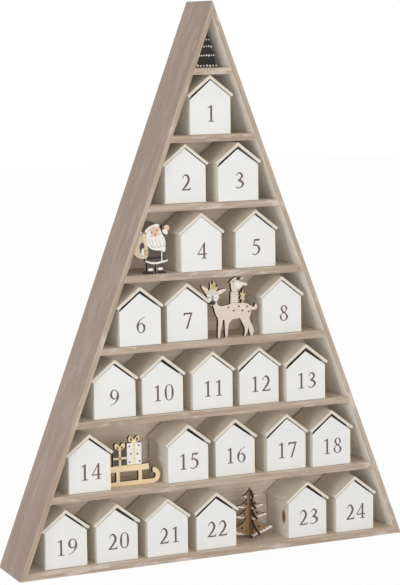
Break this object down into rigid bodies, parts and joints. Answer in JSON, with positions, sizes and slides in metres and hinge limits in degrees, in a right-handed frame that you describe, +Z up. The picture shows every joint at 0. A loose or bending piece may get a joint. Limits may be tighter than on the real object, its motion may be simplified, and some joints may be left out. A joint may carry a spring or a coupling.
{
  "type": "advent calendar",
  "caption": "Fir-tree-shaped open wooden shelf with tiers of loose little numbered houses, each with a pull-out drawer, among flat cut-out Christmas ornaments.",
  "frame": {"origin": "middle of the rectangle that the calendar stands on", "axes": "+Z up to the apex, +X to the viewer's right, +Y to the back panel"},
  "size_m": [0.458, 0.067, 0.6009],
  "materials": {
    "washed_wood": "grey-brown washed, matt",
    "back_board": "thin washed board, matt",
    "plywood": "natural pale plywood, matt",
    "white_paint": "matt white paint on wood, printed number",
    "dark_ornament": "dark stained cut-out",
    "painted_ornament": "painted cut-out",
    "pale_ornament": "natural cut-out with scorched edges",
    "brown_ornament": "brown cut-out with white tips",
    "nail_steel": "bare wire nails"
  },
  "bodies": {
    "frame": {"left_side_panel": "washed_wood", "right_side_panel": "washed_wood", "base_board": "washed_wood", "back_panel": "back_board", "shelves": "washed_wood", "back_panel_nails": "nail_steel", "top_tree": "dark_ornament", "santa_figure": "painted_ornament", "reindeer": "pale_ornament", "sledge": "pale_ornament", "sledge_parcels": "painted_ornament", "fir_tree": "brown_ornament"},
    "house_01": {"house_01_shell": "plywood"},
    "drawer_01": {"house_01_drawer": "white_paint"},
    "house_02": {"house_02_shell": "plywood"},
    "drawer_02": {"house_02_drawer": "white_paint"},
    "house_03": {"house_03_shell": "plywood"},
    "drawer_03": {"house_03_drawer": "white_paint"},
    "house_04": {"house_04_shell": "plywood"},
    "drawer_04": {"house_04_drawer": "white_paint"},
    "house_05": {"house_05_shell": "plywood"},
    "drawer_05": {"house_05_drawer": "white_paint"},
    "house_06": {"house_06_shell": "plywood"},
    "drawer_06": {"house_06_drawer": "white_paint"},
    "house_07": {"house_07_shell": "plywood"},
    "drawer_07": {"house_07_drawer": "white_paint"},
    "house_08": {"house_08_shell": "plywood"},
    "drawer_08": {"house_08_drawer": "white_paint"},
    "house_09": {"house_09_shell": "plywood"},
    "drawer_09": {"house_09_drawer": "white_paint"},
    "house_10": {"house_10_shell": "plywood"},
    "drawer_10": {"house_10_drawer": "white_paint"},
    "house_11": {"house_11_shell": "plywood"},
    "drawer_11": {"house_11_drawer": "white_paint"},
    "house_12": {"house_12_shell": "plywood"},
    "drawer_12": {"house_12_drawer": "white_paint"},
    "house_13": {"house_13_shell": "plywood"},
    "drawer_13": {"house_13_drawer": "white_paint"},
    "house_14": {"house_14_shell": "plywood"},
    "drawer_14": {"house_14_drawer": "white_paint"},
    "house_15": {"house_15_shell": "plywood"},
    "drawer_15": {"house_15_drawer": "white_paint"},
    "house_16": {"house_16_shell": "plywood"},
    "drawer_16": {"house_16_drawer": "white_paint"},
    "house_17": {"house_17_shell": "plywood"},
    "drawer_17": {"house_17_drawer": "white_paint"},
    "house_18": {"house_18_shell": "plywood"},
    "drawer_18": {"house_18_drawer": "white_paint"},
    "house_19": {"house_19_shell": "plywood"},
    "drawer_19": {"house_19_drawer": "white_paint"},
    "house_20": {"house_20_shell": "plywood"},
    "drawer_20": {"house_20_drawer": "white_paint"},
    "house_21": {"house_21_shell": "plywood"},
    "drawer_21": {"house_21_drawer": "white_paint"},
    "house_22": {"house_22_shell": "plywood"},
    "drawer_22": {"house_22_drawer": "white_paint"},
    "house_23": {"house_23_shell": "plywood"},
    "drawer_23": {"house_23_drawer": "white_paint"},
    "house_24": {"house_24_shell": "plywood"},
    "drawer_24": {"house_24_drawer": "white_paint"}
  },
  "joints": [
    {"name": "drawer_01_slide", "type": "slide", "parent": "house_01", "child": "drawer_01", "axis": [0, -1, 0], "range_m": [0, 0.0382]},
    {"name": "house_01_slide", "type": "slide", "parent": "frame", "child": "house_01", "axis": [0, -1, 0], "range_m": [0, 0.07]},
    {"name": "drawer_02_slide", "type": "slide", "parent": "house_02", "child": "drawer_02", "axis": [0, -1, 0], "range_m": [0, 0.0382]},
    {"name": "house_02_slide", "type": "slide", "parent": "frame", "child": "house_02", "axis": [0, -1, 0], "range_m": [0, 0.07]},
    {"name": "drawer_03_slide", "type": "slide", "parent": "house_03", "child": "drawer_03", "axis": [0, -1, 0], "range_m": [0, 0.0382]},
    {"name": "house_03_slide", "type": "slide", "parent": "frame", "child": "house_03", "axis": [0, -1, 0], "range_m": [0, 0.07]},
    {"name": "drawer_04_slide", "type": "slide", "parent": "house_04", "child": "drawer_04", "axis": [0, -1, 0], "range_m": [0, 0.0382]},
    {"name": "house_04_slide", "type": "slide", "parent": "frame", "child": "house_04", "axis": [0, -1, 0], "range_m": [0, 0.07]},
    {"name": "drawer_05_slide", "type": "slide", "parent": "house_05", "child": "drawer_05", "axis": [0, -1, 0], "range_m": [0, 0.0382]},
    {"name": "house_05_slide", "type": "slide", "parent": "frame", "child": "house_05", "axis": [0, -1, 0], "range_m": [0, 0.07]},
    {"name": "drawer_06_slide", "type": "slide", "parent": "house_06", "child": "drawer_06", "axis": [0, -1, 0], "range_m": [0, 0.0382]},
    {"name": "house_06_slide", "type": "slide", "parent": "frame", "child": "house_06", "axis": [0, -1, 0], "range_m": [0, 0.07]},
    {"name": "drawer_07_slide", "type": "slide", "parent": "house_07", "child": "drawer_07", "axis": [0, -1, 0], "range_m": [0, 0.0382]},
    {"name": "house_07_slide", "type": "slide", "parent": "frame", "child": "house_07", "axis": [0, -1, 0], "range_m": [0, 0.07]},
    {"name": "drawer_08_slide", "type": "slide", "parent": "house_08", "child": "drawer_08", "axis": [0, -1, 0], "range_m": [0, 0.0382]},
    {"name": "house_08_slide", "type": "slide", "parent": "frame", "child": "house_08", "axis": [0, -1, 0], "range_m": [0, 0.07]},
    {"name": "drawer_09_slide", "type": "slide", "parent": "house_09", "child": "drawer_09", "axis": [0, -1, 0], "range_m": [0, 0.0382]},
    {"name": "house_09_slide", "type": "slide", "parent": "frame", "child": "house_09", "axis": [0, -1, 0], "range_m": [0, 0.07]},
    {"name": "drawer_10_slide", "type": "slide", "parent": "house_10", "child": "drawer_10", "axis": [0, -1, 0], "range_m": [0, 0.0382]},
    {"name": "house_10_slide", "type": "slide", "parent": "frame", "child": "house_10", "axis": [0, -1, 0], "range_m": [0, 0.07]},
    {"name": "drawer_11_slide", "type": "slide", "parent": "house_11", "child": "drawer_11", "axis": [0, -1, 0], "range_m": [0, 0.0382]},
    {"name": "house_11_slide", "type": "slide", "parent": "frame", "child": "house_11", "axis": [0, -1, 0], "range_m": [0, 0.07]},
    {"name": "drawer_12_slide", "type": "slide", "parent": "house_12", "child": "drawer_12", "axis": [0, -1, 0], "range_m": [0, 0.0382]},
    {"name": "house_12_slide", "type": "slide", "parent": "frame", "child": "house_12", "axis": [0, -1, 0], "range_m": [0, 0.07]},
    {"name": "drawer_13_slide", "type": "slide", "parent": "house_13", "child": "drawer_13", "axis": [0, -1, 0], "range_m": [0, 0.0382]},
    {"name": "house_13_slide", "type": "slide", "parent": "frame", "child": "house_13", "axis": [0, -1, 0], "range_m": [0, 0.07]},
    {"name": "drawer_14_slide", "type": "slide", "parent": "house_14", "child": "drawer_14", "axis": [0, -1, 0], "range_m": [0, 0.0382]},
    {"name": "house_14_slide", "type": "slide", "parent": "frame", "child": "house_14", "axis": [0, -1, 0], "range_m": [0, 0.07]},
    {"name": "drawer_15_slide", "type": "slide", "parent": "house_15", "child": "drawer_15", "axis": [0, -1, 0], "range_m": [0, 0.0382]},
    {"name": "house_15_slide", "type": "slide", "parent": "frame", "child": "house_15", "axis": [0, -1, 0], "range_m": [0, 0.07]},
    {"name": "drawer_16_slide", "type": "slide", "parent": "house_16", "child": "drawer_16", "axis": [0, -1, 0], "range_m": [0, 0.0382]},
    {"name": "house_16_slide", "type": "slide", "parent": "frame", "child": "house_16", "axis": [0, -1, 0], "range_m": [0, 0.07]},
    {"name": "drawer_17_slide", "type": "slide", "parent": "house_17", "child": "drawer_17", "axis": [0, -1, 0], "range_m": [0, 0.0382]},
    {"name": "house_17_slide", "type": "slide", "parent": "frame", "child": "house_17", "axis": [0, -1, 0], "range_m": [0, 0.07]},
    {"name": "drawer_18_slide", "type": "slide", "parent": "house_18", "child": "drawer_18", "axis": [0, -1, 0], "range_m": [0, 0.0382]},
    {"name": "house_18_slide", "type": "slide", "parent": "frame", "child": "house_18", "axis": [0, -1, 0], "range_m": [0, 0.07]},
    {"name": "drawer_19_slide", "type": "slide", "parent": "house_19", "child": "drawer_19", "axis": [0, -1, 0], "range_m": [0, 0.0382]},
    {"name": "house_19_slide", "type": "slide", "parent": "frame", "child": "house_19", "axis": [0, -1, 0], "range_m": [0, 0.07]},
    {"name": "drawer_20_slide", "type": "slide", "parent": "house_20", "child": "drawer_20", "axis": [0, -1, 0], "range_m": [0, 0.0382]},
    {"name": "house_20_slide", "type": "slide", "parent": "frame", "child": "house_20", "axis": [0, -1, 0], "range_m": [0, 0.07]},
    {"name": "drawer_21_slide", "type": "slide", "parent": "house_21", "child": "drawer_21", "axis": [0, -1, 0], "range_m": [0, 0.0382]},
    {"name": "house_21_slide", "type": "slide", "parent": "frame", "child": "house_21", "axis": [0, -1, 0], "range_m": [0, 0.07]},
    {"name": "drawer_22_slide", "type": "slide", "parent": "house_22", "child": "drawer_22", "axis": [0, -1, 0], "range_m": [0, 0.0382]},
    {"name": "house_22_slide", "type": "slide", "parent": "frame", "child": "house_22", "axis": [0, -1, 0], "range_m": [0, 0.07]},
    {"name": "drawer_23_slide", "type": "slide", "parent": "house_23", "child": "drawer_23", "axis": [0, -1, 0], "range_m": [0, 0.0382]},
    {"name": "house_23_slide", "type": "slide", "parent": "frame", "child": "house_23", "axis": [0, -1, 0], "range_m": [0, 0.07]},
    {"name": "drawer_24_slide", "type": "slide", "parent": "house_24", "child": "drawer_24", "axis": [0, -1, 0], "range_m": [0, 0.0382]},
    {"name": "house_24_slide", "type": "slide", "parent": "frame", "child": "house_24", "axis": [0, -1, 0], "range_m": [0, 0.07]}
  ]
}
